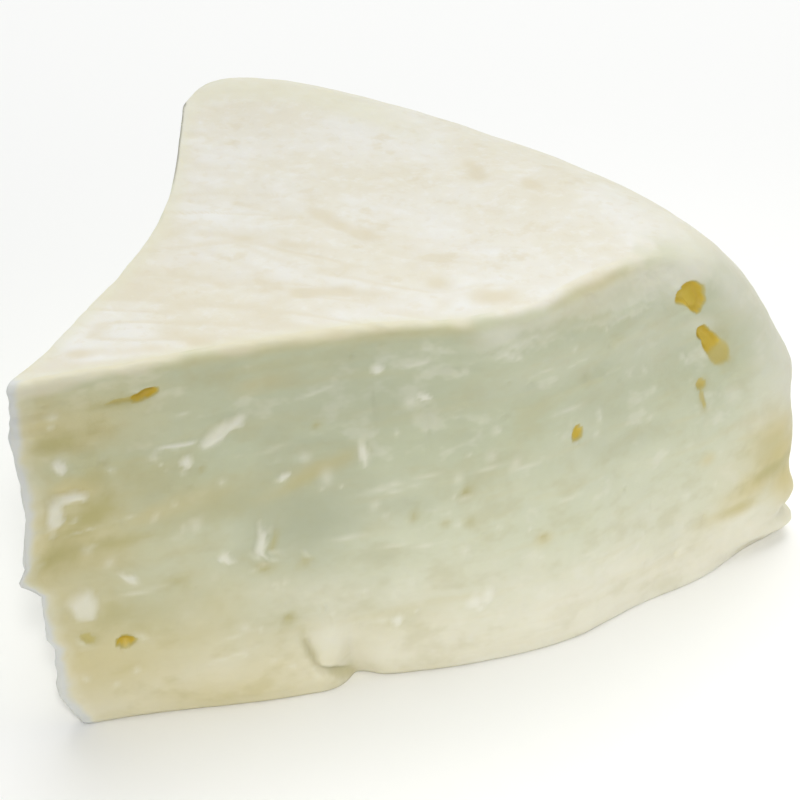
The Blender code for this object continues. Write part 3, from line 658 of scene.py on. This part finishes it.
class Sheet:
    # one material: its node tree and its Principled shader
    def __init__(self, name, **constants):
        self.material = bpy.data.materials.new(name)
        self.material.use_nodes = True
        self.tree = self.material.node_tree
        self.shader = self.tree.nodes["Principled BSDF"]
        for key, value in constants.items():
            self.shader.inputs[key.replace("_", " ")].default_value = value

    def add(self, kind, settings, sockets, output=0):
        # any node: its settings first, then the values or links of its sockets
        node = self.tree.nodes.new(kind)
        for key, value in settings.items():
            setattr(node, key, value)
        for key, value in sockets.items():
            self.feed(node.inputs[key], value)
        return Wire(self, node.outputs[output])

    def feed(self, target, value):
        if isinstance(value, Wire):
            self.tree.links.new(value.socket, target)
        else:
            target.default_value = value

    def place(self):
        return self.add("ShaderNodeTexCoord", {}, {}, "Object")

    def mask(self, name):
        return self.add("ShaderNodeAttribute", dict(attribute_name=name), {}, "Fac")

    def grain(self, size, detail=3.0, roughness=0.55, stretch=(1.0, 1.0, 1.0), turn=(0.0, 0.0, 0.0)):
        # noise with features of a size in metres, stretched along its axes
        scale = tuple(1.0 / (size * factor) for factor in stretch)
        sockets = {"Vector": self.place(), "Scale": scale, "Rotation": turn}
        placed = self.add("ShaderNodeMapping", {}, sockets)
        return self.add("ShaderNodeTexNoise", {}, {
            "Vector": placed, "Scale": 1.0, "Detail": detail, "Roughness": roughness,
        }, "Fac")

    def ramp(self, value, low, high, toLow=0.0, toHigh=1.0):
        sockets = {"Value": value, "From Min": low, "From Max": high, "To Min": toLow, "To Max": toHigh}
        return self.add("ShaderNodeMapRange", dict(interpolation_type="SMOOTHSTEP"), sockets)

    def mix(self, factor, first, second):
        # colours by a factor; the colour sockets of a Mix node are 6 and 7, its colour output is 2
        return self.add("ShaderNodeMix", dict(data_type="RGBA"), {0: factor, 6: first, 7: second}, 2)

    def bump(self, height, strength, distance):
        return self.add("ShaderNodeBump", {}, {"Height": height, "Strength": strength, "Distance": distance})


def rgb(red, green, blue):
    # screen colour from 0 to 255 to the linear value that a shader takes
    linear = [((v / 255.0 + 0.055) / 1.055) ** 2.4 for v in (red, green, blue)]
    return (*linear, 1.0)


# The cheese's tones, its inside, its noises in metres, and its layers of tone: source, start, end, share, tone
cheeseLook = dict(
    skinPale=rgb(230, 228, 220), skinCream=rgb(225, 220, 203), skinWhite=rgb(235, 235, 231),
    # the cut's tones are greener and darker than the skin's, partly painted shade of the cut face; the darker,
    # greener tone for high on the cut is painted shade and the pale tone for its foot is painted bounce light from
    # the floor
    skinTanAndFoldShade=rgb(218, 209, 184), rimToneAndEdgeShade=rgb(224, 221, 197), cutHighShade=rgb(198, 202, 173), cutLow=rgb(213, 215, 190),
    # the warm cut tone is a warm tint of the drag streaks and painted shade in hollows, under the lip and along the
    # top edge; the deep cut tone is painted shade in pits, scored lines, eyes and hollows
    cutFootBounceLight=rgb(231, 227, 208), cutWarmTintAndShade=rgb(212, 200, 150), cutDeepShade=rgb(184, 176, 120), cutDull=rgb(179, 183, 156),
    # the pale grey of the apex strip is a painted highlight on the rounded edge
    curd=rgb(235, 233, 218), mottleDark=rgb(190, 184, 142), apexHighlightGrey=rgb(216, 217, 213),
    eyeShallow=rgb(196, 184, 118), eyeDeep=rgb(214, 188, 76),
)
cheeseInside = dict(
    IOR=1.42, Subsurface_Weight=0.2, Subsurface_Scale=0.003, Subsurface_Radius=(1.0, 0.85, 0.5),
    Specular_IOR_Level=0.35,
)
cheeseGrains = dict(
    broad=dict(size=0.018, detail=2.0), fine=dict(size=0.004, detail=4.0),
    speckle=dict(size=0.0016, detail=4.0, roughness=0.6), drag=dict(size=0.003, stretch=(5.0, 5.0, 0.7)),
    mottle=dict(size=0.0045, roughness=0.6, stretch=(1.3, 1.3, 0.8), turn=(0.0, 0.25, 0.0)),
)
cheeseLayers = dict(
    skin=(
        ("broad", 0.35, 0.65, 1.0, "skinCream"), ("fine", 0.42, 0.3, 0.5, "skinTanAndFoldShade"),
        ("fine", 0.5, 0.75, 0.5, "skinWhite"), ("speckle", 0.53, 0.68, 0.35, "skinWhite"),
        # a random tan tone in the speckles, then painted shade in the folds and crease valleys
        ("speckle", 0.46, 0.34, 0.25, "skinTanAndFoldShade"), ("fold", 0.1, 1.0, 0.8, "skinTanAndFoldShade"),
    ),
    cut=(
        # the cut by height: darker and greener higher up as painted shade, paler towards the foot as painted bounce
        # light from the floor, then a warm tint along the drag streaks
        ("level", 0.016, 0.030, 1.0, "cutHighShade"), ("level", 0.018, 0.001, 1.0, "cutFootBounceLight"),
        ("drag", 0.5, 0.8, 0.25, "cutWarmTintAndShade"),
    ),
    crumbs=(("mottle", 0.46, 0.3, 0.35, "curd"),),
    eyes=(("eye", 0.0, 0.5, 1.0, "eyeShallow"), ("eye", 0.4, 0.9, 1.0, "eyeDeep")),
)
cheeseShares = dict(
    broadLevel=0.016, fineLevel=0.005, mottle=(0.48, 0.7), mottleBase=0.3, mottleWarm=0.5, rim=0.85, deep=0.9,
    curd=0.9, roughCut=0.42, roughSkin=0.55, roughNoise=(0.3, 0.7, -0.06, 0.08),
    dragBump=0.5, fineBump=0.7, speckleBump=0.4, bump=0.4, bumpDepth=0.0004,
)


def cheeseMaterial():
    # skin tones and cut tones in layers, mixed by the skin mask, then painted shade in warmer and darker ochre
    # patches, curd, the painted highlight of the grey edge and the eyes
    look, share = cheeseLook, cheeseShares
    sheet = Sheet("freshCheese", **cheeseInside)
    source = {name: sheet.grain(**values) for name, values in cheeseGrains.items()}
    masks = ("rim", "fold", "skin", "dull", "warm", "deep", "curd", "edge", "eye")
    source.update({name: sheet.mask(name) for name in masks})
    height = sheet.add("ShaderNodeSeparateXYZ", {}, {"Vector": sheet.place()}, "Z")
    broad, fine, skin, drag = (source[name] for name in ("broad", "fine", "skin", "drag"))
    # height with a little noise: it places the painted shade high on the cut and the painted bounce light at its foot
    source["level"] = height + (broad - 0.5) * share["broadLevel"] + (fine - 0.5) * share["fineLevel"]

    def layered(tone, layers):
        for name, start, end, part, above in cheeseLayers[layers]:
            tone = sheet.mix(sheet.ramp(source[name], start, end) * part, tone, look[above])
        return tone

    # the rim tone: the rind's own tone, with painted shade on the far shoulder and along the near edge of the top
    skinTone = sheet.mix(source["rim"] * share["rim"], layered(look["skinPale"], "skin"), look["rimToneAndEdgeShade"])
    mottled = source["warm"] * share["mottleWarm"] + share["mottleBase"]
    mottled = sheet.ramp(source["mottle"], *share["mottle"]) * mottled
    cutTone = layered(sheet.mix(mottled, layered(look["cutLow"], "cut"), look["mottleDark"]), "crumbs")
    cutTone = sheet.mix(source["dull"], cutTone, look["cutDull"])
    tone = sheet.mix(skin, cutTone, skinTone)
    # warmer ochre: painted shade in hollows, under the lip and along the top edge, partly an ochre tint
    tone = sheet.mix(source["warm"], tone, look["cutWarmTintAndShade"])
    # darker ochre: painted shade in pits, scored lines, eyes and hollows
    tone = sheet.mix(source["deep"] * share["deep"], tone, look["cutDeepShade"])
    tone = sheet.mix(source["curd"] * share["curd"], tone, look["curd"])
    # the grey edge is a painted highlight along the rounded apex
    tone = layered(sheet.mix(source["edge"], tone, look["apexHighlightGrey"]), "eyes")
    sheet.feed(sheet.shader.inputs["Base Color"], tone)
    rough = sheet.ramp(fine, *share["roughNoise"]) + sheet.ramp(skin, 0.0, 1.0, share["roughCut"], share["roughSkin"])
    sheet.feed(sheet.shader.inputs["Roughness"], rough)
    bumps = drag * (1.0 - skin) * share["dragBump"] + fine * share["fineBump"]
    bumps = bumps + source["speckle"] * share["speckleBump"]
    sheet.feed(sheet.shader.inputs["Normal"], sheet.bump(bumps, share["bump"], share["bumpDepth"]))
    return sheet.material


cheese.data.materials.append(cheeseMaterial())
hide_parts("cheese")
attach(cheese, "root")
print("cheese finished")

# The table, the light and the camera
stage = dict(floorSide=3.0, floorColour=rgb(250, 250, 249), floorRough=0.6)


def buildFloor():
    half = stage["floorSide"] / 2.0
    square = [(-half, -half, 0.0), (half, -half, 0.0), (half, half, 0.0), (-half, half, 0.0)]
    mesh = bpy.data.meshes.new("table")
    mesh.from_pydata(square, [], [(0, 1, 2, 3)])
    floor = bpy.data.objects.new("table", mesh)
    bpy.context.scene.collection.objects.link(floor)
    sheet = Sheet("paleTable", Roughness=stage["floorRough"], Base_Color=stage["floorColour"])
    mesh.materials.append(sheet.material)


lights = dict(
    top=dict(kind="AREA", place=(0.12, 0.30, 0.75), aim=(0.0, 0.0, 0.02), size=0.9, power=5.1,
             colour=(1.0, 0.99, 0.97)),
    left=dict(kind="SPOT", place=(-0.05, -0.50, 0.40), aim=(-0.03, -0.062, 0.0), size=0.05, power=9.0, cone=10.5,
              colour=(1.0, 0.98, 0.94)),
    right=dict(kind="SPOT", place=(0.05, -0.50, 0.40), aim=(0.045, -0.04, 0.0), size=0.05, power=9.0, cone=10.5,
               colour=(1.0, 0.98, 0.94)),
)
worldLook = dict(colour=(0.95, 0.98, 1.0, 1.0), strength=0.42)


def aimed(thing, place, aim):
    # at its place, its -Z axis turned towards the aim
    thing.location = place
    direction = np.array(aim) - np.array(place)
    tilt = math.atan2(math.hypot(direction[0], direction[1]), -direction[2])
    thing.rotation_euler = (tilt, 0.0, math.atan2(direction[1], direction[0]) - math.pi / 2.0)


def buildLights():
    for name, values in lights.items():
        lamp = bpy.data.lights.new(name, values["kind"])
        lamp.energy, lamp.color = values["power"], values["colour"]
        if values["kind"] == "AREA":
            lamp.shape, lamp.size = "DISK", values["size"]
        else:
            lamp.shadow_soft_size, lamp.spot_blend = values["size"], 1.0
            lamp.spot_size = math.radians(values["cone"])
        thing = bpy.data.objects.new(name, lamp)
        bpy.context.scene.collection.objects.link(thing)
        aimed(thing, values["place"], values["aim"])
    world = bpy.data.worlds.new("studio")
    world.use_nodes = True
    background = world.node_tree.nodes["Background"]
    background.inputs["Color"].default_value = worldLook["colour"]
    background.inputs["Strength"].default_value = worldLook["strength"]
    bpy.context.scene.world = world


# Camera: elevation and turn in degrees, distance in metres from a point inside the wedge, lens and sensor in mm,
# offset of that point in pixels of a picture 800 wide
view = dict(
    elevation=29.98, turn=9.67, distance=0.3367, lens=135.0, sensor=36.0, width=800.0, target=(42.0, 32.0, 20.0),
    offset=(31.6, 15.4),
)


def buildCamera():
    elevation, turn = math.radians(view["elevation"]), math.radians(view["turn"])
    level = math.cos(elevation)
    forward = np.array([math.sin(turn) * level, math.cos(turn) * level, -math.sin(elevation)])
    right = np.array([math.cos(turn), -math.sin(turn), 0.0])
    upward = np.cross(right, forward)
    place = (np.array(view["target"]) + shift) * mm - forward * view["distance"]
    focal = view["width"] * view["lens"] / view["sensor"]
    aim = place + forward + (right * view["offset"][0] - upward * view["offset"][1]) / focal
    data = bpy.data.cameras.new("camera")
    data.lens, data.sensor_width = view["lens"], view["sensor"]
    camera = bpy.data.objects.new("camera", data)
    bpy.context.scene.collection.objects.link(camera)
    aimed(camera, place, aim)
    bpy.context.scene.camera = camera


buildFloor()
buildLights()
buildCamera()
bpy.context.scene.view_settings.view_transform = "Standard"
print("stage built")
